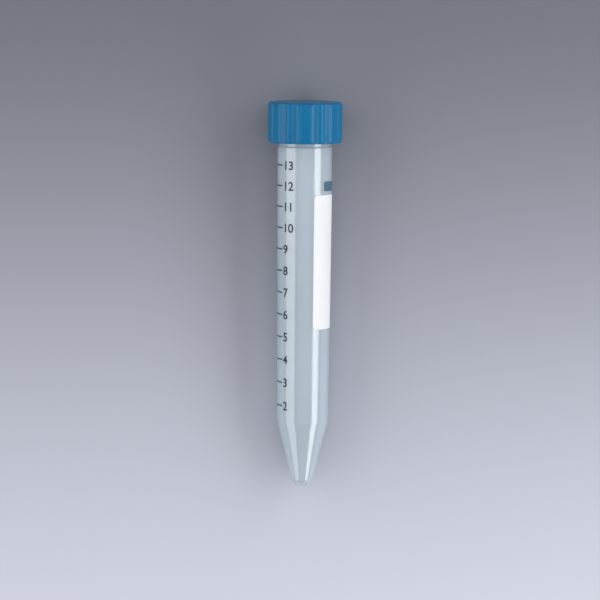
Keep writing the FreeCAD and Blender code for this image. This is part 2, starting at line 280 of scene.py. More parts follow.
class StageSettings(PropertyGroup):
    """Floor, lights and camera."""

    floor: colour("Floor", "A plain pale floor", linear(215, 218, 233))
    # Painted shade: the floor beyond the cap is painted in this deeper tone.
    floor_painted_shade: colour("Floor beyond the cap", "A little deeper", linear(115, 118, 128))
    floor_size: length("Floor size", "Side of the floor", 4.0)
    camera_raise: angle("Camera raise", "Towards the cap, from square on", math.radians(6.5))
    lens: FloatProperty(
        name="Lens", description="Focal length in millimetres", default=180, min=1,
        subtype="DISTANCE_CAMERA", unit="CAMERA",
    )
    view_width: length("View width", "Width seen at the tube", 0.1862)
    aim_height: length("Aim height", "Point of the axis at the picture's middle", 0.0584)
    aim_side: length("Aim side", "How far that point is from the tube's middle", 0.0011)
    camera_lean: angle("Camera lean", "Turn about the line of sight", math.radians(0.5))
    key_angle: angle("Strip light angle", "To the right of the camera", math.radians(57))
    fill_angle: angle("Broad light angle", "To the left of the camera", math.radians(61))
    top_lean: share("Top light lean", "Towards the cap, from straight above", 0.15)
    key_distance: length("Strip light distance", "From the tube", 0.6)
    fill_distance: length("Broad light distance", "From the tube", 0.7)
    top_distance: length("Top light distance", "From the tube", 1.6)
    key_width: length("Strip light width", "Across the tube", 0.3)
    fill_width: length("Broad light width", "Across the tube", 0.55)
    top_width: length("Top light width", "Across the tube", 1.6)
    light_length: length("Light length", "Of every light, along the tube", 1.6)
    key_power: watts("Strip light", "Its power", 3.8)
    fill_power: watts("Broad light", "Its power", 3.5)
    top_power: watts("Top light", "Its power", 6.8)
    room: share("Room light", "Strength of the even light from all round", 0.3)


def deselect_all():
    """Leaves edit mode and selects nothing, since a tool acts on all that is selected."""
    if bpy.context.object and bpy.context.object.mode != "OBJECT":
        bpy.ops.object.mode_set(mode="OBJECT")
    bpy.ops.object.select_all(action="DESELECT")


def only(piece):
    """Selects one object and makes it active."""
    deselect_all()
    piece.select_set(True)
    bpy.context.view_layer.objects.active = piece


def edit(piece, mode="VERT"):
    """Opens one object in edit mode with nothing selected in it."""
    only(piece)
    bpy.ops.object.mode_set(mode="EDIT")
    bpy.ops.mesh.select_mode(type=mode)
    bpy.ops.mesh.select_all(action="DESELECT")


def pick(piece, wanted, kind="verts"):
    """In edit mode, selects the vertices, edges or faces that pass a test, and no others."""
    bpy.ops.mesh.select_all(action="DESELECT")
    mesh = bmesh.from_edit_mesh(piece.data)
    chosen = [part for part in getattr(mesh, kind) if wanted(part)]
    for part in chosen:
        part.select_set(True)
    bmesh.update_edit_mesh(piece.data)
    if not chosen:
        raise RuntimeError(f"nothing was found to shape on {piece.name}")


def apply_modifier(piece, kind, **settings):
    """Adds a modifier to the active object and applies it."""
    bpy.ops.object.modifier_add(type=kind)
    modifier = piece.modifiers[-1]
    for name, value in settings.items():
        setattr(modifier, name, value)
    bpy.ops.object.modifier_apply(modifier=modifier.name)


def close_surface():
    """Merges the seams and poles of what is being edited and turns every face outwards."""
    bpy.ops.mesh.select_all(action="SELECT")
    bpy.ops.mesh.remove_doubles(threshold=MERGE)
    bpy.ops.mesh.normals_make_consistent(inside=False)
    bpy.ops.object.mode_set(mode="OBJECT")


def draw_section(name, corners):
    """Draws an open line in the XZ plane through (radius, height, rounding) corners."""
    deselect_all()
    bpy.ops.mesh.primitive_plane_add(size=HAIR)
    piece = bpy.context.object
    piece.name = name
    bpy.ops.object.mode_set(mode="EDIT")
    bpy.ops.mesh.select_mode(type="VERT")
    bpy.ops.mesh.select_all(action="SELECT")
    bpy.ops.mesh.merge(type="CENTER")
    points = [Vector((radius, 0, height)) for radius, height, _ in corners]
    bpy.ops.transform.translate(value=points[0])
    for last, point in zip(points, points[1:]):
        bpy.ops.mesh.extrude_vertices_move(TRANSFORM_OT_translate={"value": point - last})
    for index in range(1, len(corners) - 1):
        round_corner(piece, points[index - 1], points[index], points[index + 1], corners[index][2])
    return piece


def round_corner(piece, before, corner, after, rounding):
    """Rounds one corner of a drawn line."""
    if rounding == 0:
        return
    turn = (corner - before).angle(after - corner)
    reach = rounding * math.tan(turn / 2)
    room = min((corner - before).length, (after - corner).length)
    pick(piece, lambda vertex: (vertex.co - corner).length < HAIR / 2)
    bpy.ops.mesh.bevel(
        offset=min(reach, CORNER_ROOM * room),
        segments=max(LEAST_STEPS, math.ceil(turn / CORNER_STEP)),
        affect="VERTICES", clamp_overlap=False,
    )


def spin_round(steps, turn=math.tau):
    """Spins the section that was drawn last about the tube's axis."""
    bpy.ops.mesh.select_all(action="SELECT")
    bpy.ops.mesh.spin(steps=steps, angle=turn, center=(0, 0, 0), axis=(0, 0, 1))


def gate_mark(piece, height, radius, depth):
    """Presses the small round mark that the mould's gate leaves at the middle of an end."""
    edit(piece, "FACE")

    def at_gate(face):
        middle = face.calc_center_median()
        return abs(middle.z - height) < GATE_REACH and middle.to_2d().length < radius

    pick(piece, at_gate, "faces")
    bpy.ops.mesh.inset(thickness=radius * GATE_EDGE)
    bpy.ops.transform.translate(value=(0, 0, depth))
    bpy.ops.object.mode_set(mode="OBJECT")


def cone_half_angle(tube):
    """Half the angle of the cone, which touches the tip's ball."""
    rise = tube.shoulder_height - tube.tip_radius
    reach = math.hypot(tube.shoulder_radius, rise)
    return math.acos(tube.tip_radius / reach) - math.atan2(rise, tube.shoulder_radius)


def draft(tube):
    """How much the barrel's radius grows with height."""
    return (tube.seat_radius - tube.shoulder_radius) / (tube.seat_low - tube.shoulder_height)


def barrel_radius(tube, height):
    """The tube's outside radius on the barrel or the seat."""
    return tube.shoulder_radius + draft(tube) * (min(height, tube.seat_low) - tube.shoulder_height)


def tube_section(tube):
    """The tube's section, from under its tip, up the outside, and down the inside."""
    lean = cone_half_angle(tube)
    slope = math.tan(lean)
    bore_low = tube.shoulder_radius - tube.barrel_wall
    cone_in = tube.shoulder_radius - tube.cone_wall / math.cos(lean)
    foot_height = tube.shoulder_height - (cone_in - bore_low) / (slope - draft(tube))
    foot_radius = bore_low + draft(tube) * (foot_height - tube.shoulder_height)
    rim_bore = bore_low + draft(tube) * (tube.length - tube.shoulder_height)
    neck_low = tube.seat_high + tube.edge_rounding + tube.seat_radius - tube.neck_radius
    cup_radius = cone_in - (tube.shoulder_height - tube.cone_wall) * slope
    return [
        (0, 0, 0),
        (tube.shoulder_radius - tube.shoulder_height * slope, 0, tube.tip_radius),
        (tube.shoulder_radius, tube.shoulder_height, tube.shoulder_blend),
        (tube.seat_radius, tube.seat_low, 0),
        (tube.seat_radius, tube.seat_high, tube.edge_rounding),
        (tube.neck_radius, neck_low, tube.edge_rounding),
        (tube.neck_radius, tube.length, tube.rim_rounding),
        (rim_bore, tube.length, tube.rim_rounding),
        (foot_radius, foot_height, tube.shoulder_blend),
        (cup_radius, tube.cone_wall, tube.tip_radius - tube.cone_wall),
        (0, tube.cone_wall, 0),
    ]


def run_out(ridge, high_end, wall, crest):
    """Closes one end of a ridge and draws it down into its wall."""
    middle = sum(vertex.co.z for vertex in ridge.data.vertices) / len(ridge.data.vertices)
    edit(ridge, "EDGE")

    def at_end(edge):
        return edge.is_boundary and (edge.verts[0].co.z > middle) == high_end

    pick(ridge, at_end, "edges")
    bpy.ops.mesh.edge_face_add()
    turn = RUN_OUT_TURN if high_end else -RUN_OUT_TURN
    end = wall * (1 - math.copysign(RUN_OUT_DEPTH, crest - wall))
    sink = (end / crest) ** (1 / RUN_OUT_STEPS)
    for _ in range(RUN_OUT_STEPS):
        bpy.ops.mesh.extrude_region_move()
        # With no window this tool turns the other way.
        bpy.ops.transform.rotate(value=-turn, orient_axis="Z", center_override=(0, 0, 0))
        bpy.ops.transform.resize(value=(sink, sink, 1), center_override=(0, 0, 0))
    bpy.ops.object.mode_set(mode="OBJECT")


def thread_ridge(name, wall, crest, low, turns, start):
    """A tapered ridge wound round the axis, rising from the height low at its middle."""
    thread = bpy.context.scene.tube_thread
    root = wall - math.copysign(thread.rooting, crest - wall)
    widen = (thread.base - thread.crest) / thread.ridge
    root_width = thread.base + widen * thread.rooting
    deselect_all()
    bpy.ops.mesh.primitive_plane_add(
        size=1, location=((root + crest) / 2, 0, low), rotation=(QUARTER, 0, 0)
    )
    ridge = bpy.context.object
    ridge.name = name
    ridge.scale = (abs(crest - root), root_width, 1)
    bpy.ops.object.transform_apply(location=True, rotation=True, scale=True)
    edit(ridge)
    pick(ridge, lambda vertex: abs(vertex.co.x - crest) < HAIR)
    bpy.ops.transform.resize(
        value=(1, 1, thread.crest / root_width), center_override=(crest, 0, low)
    )
    bpy.ops.mesh.select_all(action="SELECT")
    bpy.ops.mesh.delete(type="ONLY_FACE")
    bpy.ops.object.mode_set(mode="OBJECT")
    steps = math.ceil(turns * THREAD_COLUMNS)
    apply_modifier(
        ridge, "SCREW", axis="Z", angle=turns * math.tau, screw_offset=turns * thread.pitch,
        iterations=1, steps=steps, render_steps=steps,
    )
    ridge.rotation_euler.z = start
    bpy.ops.object.transform_apply(location=False, rotation=True, scale=False)
    for high_end in (False, True):
        run_out(ridge, high_end, wall, crest)
    edit(ridge)
    close_surface()
    return ridge


def join_ridge(piece, ridge):
    """Makes a ridge one with the wall that carries it."""
    only(piece)
    apply_modifier(piece, "BOOLEAN", operation="UNION", solver="EXACT", object=ridge)
    bpy.data.objects.remove(ridge)


def finish_piece(piece, body, node, material, crease=math.radians(30)):
    """Lays a piece down in the frame, smooths it, gives it its material and its body, and hides
    its CAD node.
    """
    only(piece)
    piece.data.transform(LAY_DOWN)
    bpy.ops.object.shade_smooth_by_angle(angle=crease)
    piece.data.name = piece.name
    piece.data.materials.clear()
    piece.data.materials.append(material)
    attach(piece, body)
    if node:
        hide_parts(node)


def add_node(tree, kind, sockets=None, **settings):
    """Adds a shader node. Each socket takes a value, or the output that feeds it."""
    node = tree.nodes.new(kind)
    for name, value in settings.items():
        setattr(node, name, value)
    for name, value in (sockets or {}).items():
        if isinstance(value, bpy.types.NodeSocket):
            tree.links.new(value, node.inputs[name])
        else:
            node.inputs[name].default_value = value
    return node


def add_noise(tree, place, scale, detail, **sockets):
    """Soft cloudy noise from 0 to 1."""
    given = {"Vector": place, "Scale": scale, "Detail": detail, **sockets}
    return add_node(tree, "ShaderNodeTexNoise", given).outputs["Fac"]


def add_math(tree, operation, *values):
    """Works out one number from others."""
    sockets = dict(enumerate(values))
    return add_node(tree, "ShaderNodeMath", sockets, operation=operation).outputs[0]


def add_ramp(tree, factor, low, high, low_value=0.0, high_value=1.0):
    """Maps a value between two limits onto two others, clamped, with soft ends."""
    sockets = {
        "Value": factor, "From Min": low, "From Max": high, "To Min": low_value,
        "To Max": high_value,
    }
    ramp = add_node(tree, "ShaderNodeMapRange", sockets, interpolation_type="SMOOTHSTEP")
    return ramp.outputs["Result"]


def mixed(tree, factor, one, other):
    """Mixes two colours, by the numbers of the node's colour sockets."""
    mix = add_node(tree, "ShaderNodeMix", {0: factor, 6: one, 7: other}, data_type="RGBA")
    return mix.outputs[2]


def opaque(rgb):
    """A colour with the full alpha that a shader's colour socket takes."""
    return (*rgb, 1.0)


def toned(rgb, factor):
    """A colour made lighter or darker."""
    return opaque([min(1.0, part * factor) for part in rgb])


def uneven(tree, factor, rgb, tones):
    """A colour that varies between two tones of itself."""
    one, other = tones
    return mixed(tree, factor, toned(rgb, one), toned(rgb, other))


VALUE, VECTOR = "NodeSocketFloat", "NodeSocketVector"
FLOW_STRETCH = (1.0, 0.25, 1.0)  # draws the flow waves out along the tube
PATCH_EDGES = (0.5, 0.72)  # noise values between which a rubbed patch fades in
SCRATCH_EDGES = (0.55, 0.7)  # and those of a scratch
SCRATCH_STRETCH = (1.0, 9.0, 3.0)  # squeezes the noise into thin lines
SCRATCH_TURN = (0.3, 0.2, 0.5)  # turns the noise's own grid off the axes
SCRATCH_SCALE = 700.0


def new_group(name, numbers, outputs):
    """An empty shader node group that takes a place and some numbers, and puts out numbers."""
    tree = bpy.data.node_groups.new(name, "ShaderNodeTree")
    tree.interface.new_socket("Vector", in_out="INPUT", socket_type=VECTOR)
    for label, default in numbers.items():
        socket = tree.interface.new_socket(label, in_out="INPUT", socket_type=VALUE)
        socket.default_value = default
    for label in outputs:
        tree.interface.new_socket(label, in_out="OUTPUT", socket_type=VALUE)
    return tree, add_node(tree, "NodeGroupInput").outputs


def moulded_skin():
    """The skin of moulded plastic: slow flow waves along the axis and a fine grain."""
    name = "moulded_skin"
    if name in bpy.data.node_groups:
        return bpy.data.node_groups[name]
    numbers = {"Flow Scale": 120.0, "Grain Scale": 4000.0}
    tree, given = new_group(name, numbers, ["Flow", "Grain", "Height"])
    stretched = add_node(
        tree, "ShaderNodeMapping", {"Vector": given["Vector"], "Scale": FLOW_STRETCH}
    )
    flow = add_noise(
        tree, stretched.outputs[0], given["Flow Scale"], detail=3.0, Roughness=0.45,
        Distortion=0.6,
    )
    grain = add_noise(tree, given["Vector"], given["Grain Scale"], detail=2.0, Roughness=0.6)
    height = add_math(tree, "ADD", flow, grain)
    add_node(tree, "NodeGroupOutput", {"Flow": flow, "Grain": grain, "Height": height})
    return tree


def handling():
    """Faint rubbed patches with fine scratches in them, as handling leaves."""
    name = "handling"
    if name in bpy.data.node_groups:
        return bpy.data.node_groups[name]
    tree, given = new_group(name, {"Patch Scale": 90.0, "Amount": 0.5}, ["Mask"])
    patches = add_noise(tree, given["Vector"], given["Patch Scale"], detail=4.0)
    patch = add_ramp(tree, patches, *PATCH_EDGES)
    turned = add_node(
        tree, "ShaderNodeMapping",
        {"Vector": given["Vector"], "Rotation": SCRATCH_TURN, "Scale": SCRATCH_STRETCH},
    )
    streaks = add_noise(tree, turned.outputs[0], SCRATCH_SCALE, detail=3.0, Roughness=0.7)
    scratch = add_ramp(tree, streaks, *SCRATCH_EDGES)
    both = add_math(tree, "MULTIPLY", patch, scratch)
    mask = add_math(tree, "MULTIPLY", both, given["Amount"])
    add_node(tree, "NodeGroupOutput", {"Mask": mask})
    return tree


def new_material(name):
    """A material, its shader, and the piece's own coordinates."""
    material = bpy.data.materials.new(name)
    material.use_nodes = True
    tree = material.node_tree
    place = add_node(tree, "ShaderNodeTexCoord").outputs["Object"]
    return material, tree, tree.nodes["Principled BSDF"], place


def add_group(tree, group, sockets):
    """Places a shader node group in a material, and gives its outputs."""
    return add_node(tree, "ShaderNodeGroup", sockets, node_tree=group).outputs


def feed(tree, shader, links, **constants):
    """Links what varies to a shader's sockets, and sets what is the same all over."""
    for name, output in links.items():
        tree.links.new(output, shader.inputs[name])
    for name, value in constants.items():
        shader.inputs[name.replace("_", " ")].default_value = value


def bump(tree, height, strength, distance):
    """The normal of a surface with a fine relief."""
    sockets = {"Height": height, "Strength": strength, "Distance": distance}
    return add_node(tree, "ShaderNodeBump", sockets).outputs["Normal"]


# Tones are factors on a piece's colour. Each pair is the two ends of what varies over it.
COMMON = (0.3, 0.7)  # the limits that most of a noise's values lie between
TUBE_TONES = (0.97, 1.03)
TUBE_ROUGHNESS = (0.12, 0.18)
CAP_TONES = (0.9, 1.12)
CAP_ROUGHNESS = (0.26, 0.34)
RUBBED_ROUGHNESS = 0.2  # added where handling has rubbed the cap
CREST_TONE, CREST_PALENESS = 1.35, 0.35  # tone of a rubbed rib, and how much of it shows
CREST_DEPTH = 0.8  # share of a rib's height over which it grows paler
WORN_TONE = 1.9  # tone of the scratches that handling leaves on the cap
LINER_TONES = (1.0, 0.86)
LINER_ROUGHNESS = (0.62, 0.8)
CELL_WALLS = (0.1, 0.6)  # distances from a foam cell's middle between which its wall rises
INK_UNEVENNESS = 0.06  # of its tone and of its roughness
INK_WORN_TONE = 1.18
FLOOR_TONES = (0.985, 1.015)
PAINTED_SHADE_FADE = (-0.14, 0.11)  # places along the tube between which the floor is painted deeper, as painted shade


def milky_plastic():
    """Milky natural polypropylene, cloudy inside and glossy outside."""
    colours = bpy.context.scene.tube_finishes
    material, tree, shader, place = new_material("milky_polypropylene")
    skin = add_group(tree, moulded_skin(), {"Vector": place, "Flow Scale": 150.0})
    haze = add_ramp(tree, add_noise(tree, place, scale=45.0, detail=5.0), *COMMON)
    feed(
        tree, shader,
        {"Base Color": uneven(tree, haze, colours.tube, TUBE_TONES),
         "Roughness": add_ramp(tree, skin["Flow"], *COMMON, *TUBE_ROUGHNESS),
         "Normal": bump(tree, skin["Grain"], strength=0.05, distance=0.00002)},
        Transmission_Weight=0.5, IOR=1.49, Coat_Weight=1.0, Coat_Roughness=0.1, Coat_IOR=1.8,
    )
    return material


def axis_distance(tree, place):
    """The distance from the tube's axis."""
    upright = add_node(
        tree, "ShaderNodeMapping",
        {"Vector": place, "Location": STAND_UP.translation, "Rotation": STAND_UP.to_euler("XYZ")},
    )
    parts = add_node(tree, "ShaderNodeSeparateXYZ", {"Vector": upright.outputs[0]}).outputs
    flat = add_node(tree, "ShaderNodeCombineXYZ", {"X": parts["X"], "Y": parts["Y"]})
    sockets = {0: flat.outputs[0]}
    return add_node(tree, "ShaderNodeVectorMath", sockets, operation="LENGTH").outputs["Value"]


def cap_plastic():
    """Satin blue polyethylene, paler where the ribs' crests are rubbed."""
    scene = bpy.context.scene
    colours, cap = scene.tube_finishes, scene.tube_cap
    material, tree, shader, place = new_material("blue_polyethylene")
    skin = add_group(tree, moulded_skin(), {"Vector": place, "Flow Scale": 220.0})
    rubbed = add_group(tree, handling(), {"Vector": place, "Patch Scale": 160.0, "Amount": 0.7})
    crest_foot = cap.radius - CREST_DEPTH * cap.rib_height
    crest = add_ramp(
        tree, axis_distance(tree, place), crest_foot, cap.radius, 0.0, CREST_PALENESS
    )
    tint = uneven(tree, skin["Flow"], colours.cap, CAP_TONES)
    crested = mixed(tree, crest, tint, toned(colours.cap, CREST_TONE))
    worn = mixed(tree, rubbed["Mask"], crested, toned(colours.cap, WORN_TONE))
    base = add_ramp(tree, skin["Grain"], *COMMON, *CAP_ROUGHNESS)
    rough = add_math(tree, "MULTIPLY_ADD", rubbed["Mask"], RUBBED_ROUGHNESS, base)
    feed(
        tree, shader,
        {"Base Color": worn, "Roughness": rough,
         "Normal": bump(tree, skin["Height"], strength=0.25, distance=0.00006)},
        IOR=1.5, Specular_IOR_Level=0.4,
    )
    return material


def liner_foam():
    """Pale closed-cell foam."""
    colours = bpy.context.scene.tube_finishes
    material, tree, shader, place = new_material("liner_foam")
    cells = add_node(
        tree, "ShaderNodeTexVoronoi", {"Vector": place, "Scale": 3500.0}, feature="SMOOTH_F1"
    ).outputs["Distance"]
    shade = add_ramp(tree, cells, *CELL_WALLS)
    feed(
        tree, shader,
        {"Base Color": uneven(tree, shade, colours.liner, LINER_TONES),
         "Roughness": add_ramp(tree, cells, *CELL_WALLS, *LINER_ROUGHNESS),
         "Normal": bump(tree, cells, strength=0.4, distance=0.0001)},
        IOR=1.45,
    )
    return material


def ink(name, rgb, roughness):
    """Screen-printed ink, a little thinner in places, with a fine mesh grain."""
    material, tree, shader, place = new_material(name)
    skin = add_group(
        tree, moulded_skin(), {"Vector": place, "Flow Scale": 300.0, "Grain Scale": 9000.0}
    )
    rubbed = add_group(tree, handling(), {"Vector": place, "Patch Scale": 140.0, "Amount": 0.5})
    tint = uneven(tree, skin["Flow"], rgb, (1 - INK_UNEVENNESS, 1 + INK_UNEVENNESS))
    feed(
        tree, shader,
        {"Base Color": mixed(tree, rubbed["Mask"], tint, toned(rgb, INK_WORN_TONE)),
         "Roughness": add_ramp(
             tree, skin["Grain"], *COMMON, roughness - INK_UNEVENNESS, roughness + INK_UNEVENNESS
         ),
         "Normal": bump(tree, skin["Grain"], strength=0.2, distance=0.00003)},
        IOR=1.5,
    )
    return material


def painted_floor():
    """The pale floor, painted deeper beyond the cap as painted shade."""
    stage = bpy.context.scene.tube_stage
    material, tree, shader, place = new_material("painted_floor")
    along = add_node(tree, "ShaderNodeSeparateXYZ", {"Vector": place}).outputs["Y"]
    # Painted shade: the floor is painted deeper in tone beyond the cap.
    beyond = add_ramp(tree, along, *PAINTED_SHADE_FADE)
    cloud = add_noise(tree, place, scale=3.0, detail=2.0)
    near = uneven(tree, cloud, stage.floor, FLOOR_TONES)
    tint = mixed(tree, beyond, near, opaque(stage.floor_painted_shade))
    feed(tree, shader, {"Base Color": tint}, Roughness=0.85, Specular_IOR_Level=0.2)
    return material


class TUBE_OT_tube(Operator):
    """Spins the tube's wall and winds the thread round its neck"""

    bl_idname = "conical_tube.tube"
    bl_label = "Tube"

    def execute(self, context):
        tube, thread = context.scene.tube_sizes, context.scene.tube_thread
        piece = draw_section("tube_shell", tube_section(tube))
        spin_round(tube.columns)
        close_surface()
        gate_mark(piece, 0, tube.gate_radius, tube.gate_depth)
        ridge = thread_ridge(
            "neck_ridge", tube.neck_radius, tube.neck_radius + thread.ridge, thread.neck_low,
            thread.neck_turns, 0,
        )
        join_ridge(piece, ridge)
        finish_piece(piece, "tube_body", "tube", milky_plastic())
        return {"FINISHED"}


def cap_section(cap, thread_wall, ceiling):
    """The cap's section, from the middle of its top, down the outside, and up the inside."""
    return [
        (0, cap.top, 0),
        (cap.gate_radius, cap.top, 0),
        (cap.radius, cap.top, cap.top_rounding),
        (cap.radius, cap.mouth + cap.edge_bevel, 0),
        (cap.radius - cap.edge_bevel, cap.mouth, 0),
        (thread_wall + cap.mouth_bevel, cap.mouth, 0),
        (thread_wall, cap.mouth + cap.mouth_bevel, 0),
        (thread_wall, ceiling, cap.mouth_bevel),
        (0, ceiling, 0),
    ]


def rib_rise(cap, column):
    """How much of a rib's height stands at a column, from the middle of a rib."""
    pitch = math.tau * cap.radius / cap.ribs
    aside = pitch * column / cap.rib_columns
    fall = (aside - cap.rib_crest / 2) / ((cap.rib_base - cap.rib_crest) / 2)
    return (1 + math.cos(math.pi * min(1, max(0, fall)))) / 2


def press_valley(piece, cap, column):
    """Presses the skirt in, at one column of a rib and its mirror image."""
    target = cap.radius - cap.rib_height * (1 - rib_rise(cap, column))
    turn = math.tau / cap.ribs / cap.rib_columns
    rings = {}
    for vertex in bmesh.from_edit_mesh(piece.data).verts:
        side = abs(math.atan2(vertex.co.x, -vertex.co.y)) / turn
        radius = vertex.co.to_2d().length
        if abs(side - column) < SAME_COLUMN and radius > target + MERGE:
            rings.setdefault(round(radius, MICROMETRES), set()).add(vertex.index)
    for radius, chosen in rings.items():
        pick(piece, lambda vertex: vertex.index in chosen)
        bpy.ops.transform.resize(
            value=(target / radius, target / radius, 1), center_override=(0, 0, 0)
        )


def rib_sector(cap, wall, ceiling):
    """The part of the cap that one rib stands on, with the rib's middle at the front."""
    piece = draw_section("cap_shell", cap_section(cap, wall, ceiling))
    spin_round(cap.rib_columns, math.tau / cap.ribs)
    bpy.ops.mesh.select_all(action="SELECT")
    bpy.ops.mesh.remove_doubles(threshold=MERGE)
    bpy.ops.object.mode_set(mode="OBJECT")
    # The sector is spun from +X, so its middle is turned to the front.
    middle = sum((vertex.co for vertex in piece.data.vertices), Vector())
    piece.rotation_euler.z = -QUARTER - math.atan2(middle.y, middle.x)
    bpy.ops.object.transform_apply(location=False, rotation=True, scale=False)
    edit(piece)
    for column in range(1, cap.rib_columns // 2 + 1):
        press_valley(piece, cap, column)
    return piece


def meshed_start(tube, thread, wall):
    """Where round the axis the cap's ridge starts, to lie just under the neck's when closed."""
    widen = (thread.base - thread.crest) / thread.ridge
    middle = (tube.neck_radius + wall) / 2
    width = thread.base - widen * (middle - tube.neck_radius)
    rise = thread.cap_low - thread.neck_low + width + thread.clearance
    return rise / thread.pitch * math.tau


class TUBE_OT_cap(Operator):
    """Models one rib of the cap, copies it round the skirt, and winds the thread inside"""

    bl_idname = "conical_tube.cap"
    bl_label = "Screw cap"

    def execute(self, context):
        scene = context.scene
        tube, thread, cap = scene.tube_sizes, scene.tube_thread, scene.tube_cap
        wall = tube.neck_radius + thread.ridge + thread.crest_clearance
        piece = rib_sector(cap, wall, height_span("sealing_liner")[1])
        bpy.ops.mesh.select_all(action="SELECT")
        bpy.ops.mesh.spin(
            steps=cap.ribs, dupli=True, angle=math.tau, center=(0, 0, 0), axis=(0, 0, 1)
        )
        close_surface()
        # Two ribs stand astride the front and the back.
        piece.rotation_euler.z = math.pi / cap.ribs
        bpy.ops.object.transform_apply(location=False, rotation=True, scale=False)
        gate_mark(piece, cap.top, cap.gate_radius, -cap.gate_depth)
        ridge = thread_ridge(
            "cap_ridge", wall, wall - thread.ridge, thread.cap_low, thread.cap_turns,
            meshed_start(tube, thread, wall),
        )
        join_ridge(piece, ridge)
        finish_piece(piece, "cap_body", "screw_cap", cap_plastic())
        return {"FINISHED"}


class TUBE_OT_liner(Operator):
    """Spins the foam liner that lies in the cap's ceiling"""

    bl_idname = "conical_tube.liner"
    bl_label = "Sealing liner"

    def execute(self, context):
        cap = context.scene.tube_cap
        low, high = height_span("sealing_liner")
        section = [
            (0, low, 0),
            (cap.liner_radius, low, cap.liner_rounding),
            (cap.liner_radius, high, cap.liner_rounding),
            (0, high, 0),
        ]
        piece = draw_section("liner_disc", section)
        spin_round(context.scene.tube_sizes.columns)
        close_surface()
        finish_piece(piece, "liner_body", "sealing_liner", liner_foam())
        return {"FINISHED"}


def flat_field(name, heights, arcs, corner):
    """A flat rectangle with rounded corners, facing the front, before it is wrapped."""
    deselect_all()
    middle = ((arcs[0] + arcs[1]) / 2, 0, (heights[0] + heights[1]) / 2)
    bpy.ops.mesh.primitive_plane_add(size=1, location=middle, rotation=(QUARTER, 0, 0))
    piece = bpy.context.object
    piece.name = name
    piece.scale = (arcs[1] - arcs[0], heights[1] - heights[0], 1)
    bpy.ops.object.transform_apply(location=True, rotation=True, scale=True)
    edit(piece)
    bpy.ops.mesh.select_all(action="SELECT")
    bpy.ops.mesh.bevel(
        offset=corner, segments=FIELD_CORNER_STEPS, affect="VERTICES", clamp_overlap=False
    )
    bpy.ops.object.mode_set(mode="OBJECT")
    return piece


def wrap_print(piece, radius, material, node):
    """Wraps a flat printed piece round the barrel and gives it its thickness of ink."""
    sizes, tube = bpy.context.scene.tube_print, bpy.context.scene.tube_sizes
    edit(piece)
    across = [vertex.co.x for vertex in piece.data.vertices]
    low, high = min(across), max(across)
    strips = math.ceil((high - low) / (radius * sizes.strip))
    for strip in range(1, strips):
        bpy.ops.mesh.select_all(action="SELECT")
        cut = low + (high - low) * strip / strips
        bpy.ops.mesh.bisect(plane_co=(cut, 0, 0), plane_no=(1, 0, 0))
    bpy.ops.mesh.select_all(action="SELECT")
    bpy.ops.mesh.bisect(plane_co=(0, 0, tube.seat_low), plane_no=(0, 0, 1))
    bpy.ops.object.mode_set(mode="OBJECT")
    apply_modifier(
        piece, "SIMPLE_DEFORM", deform_method="BEND", deform_axis="Z",
        angle=(high - low) / radius,
    )
    piece.data.transform(LAY_DOWN @ Matrix.Translation((0, -radius, 0)))
    apply_modifier(
        piece, "SHRINKWRAP", target=bpy.data.objects["tube_shell"],
        wrap_method="NEAREST_SURFACEPOINT", wrap_mode="ABOVE_SURFACE", offset=sizes.ink,
    )
    apply_modifier(piece, "SOLIDIFY", thickness=sizes.ink + sizes.sunk, offset=-1)
    piece.data.transform(STAND_UP)
    finish_piece(piece, "tube_body", node, material)


class TUBE_OT_panel(Operator):
    """Prints the white writing panel and the coloured bar above it"""

    bl_idname = "conical_tube.panel"
    bl_label = "Writing panel and bar"

    def execute(self, context):
        scene = context.scene
        sizes, colours = scene.tube_print, scene.tube_finishes
        fields = [
            ("white_panel", "writing_panel", PANEL_HEIGHTS, PANEL_ANGLES, sizes.panel_corner,
             "white_ink", colours.white_ink, colours.white_roughness),
            ("teal_bar", "colour_bar", BAR_HEIGHTS, BAR_ANGLES, sizes.bar_corner,
             "teal_ink", colours.teal_ink, colours.teal_roughness),
        ]
        for name, node, heights, angles, corner, slot, rgb, roughness in fields:
            radius = barrel_radius(scene.tube_sizes, sum(heights) / 2)
            arcs = [radius * angle for angle in angles]
            piece = flat_field(name, heights, arcs, corner)
            wrap_print(piece, radius, ink(slot, rgb, roughness), node)
        return {"FINISHED"}


def numeral(text, left, middle, size, weight):
    """One flat numeral, which starts at one place across and has its middle at a height."""
    deselect_all()
    bpy.ops.object.text_add()
    piece = bpy.context.object
    piece.data.body = text
    piece.data.size = size
    piece.data.offset = weight
    bpy.ops.object.convert(target="MESH")
    piece = bpy.context.object
    heights = [vertex.co.y for vertex in piece.data.vertices]
    piece.data.transform(
        Matrix.Translation((left, 0, middle))
        @ Matrix.Rotation(QUARTER, 4, "X")
        @ Matrix.Translation((0, -(min(heights) + max(heights)) / 2, 0))
    )
    return piece


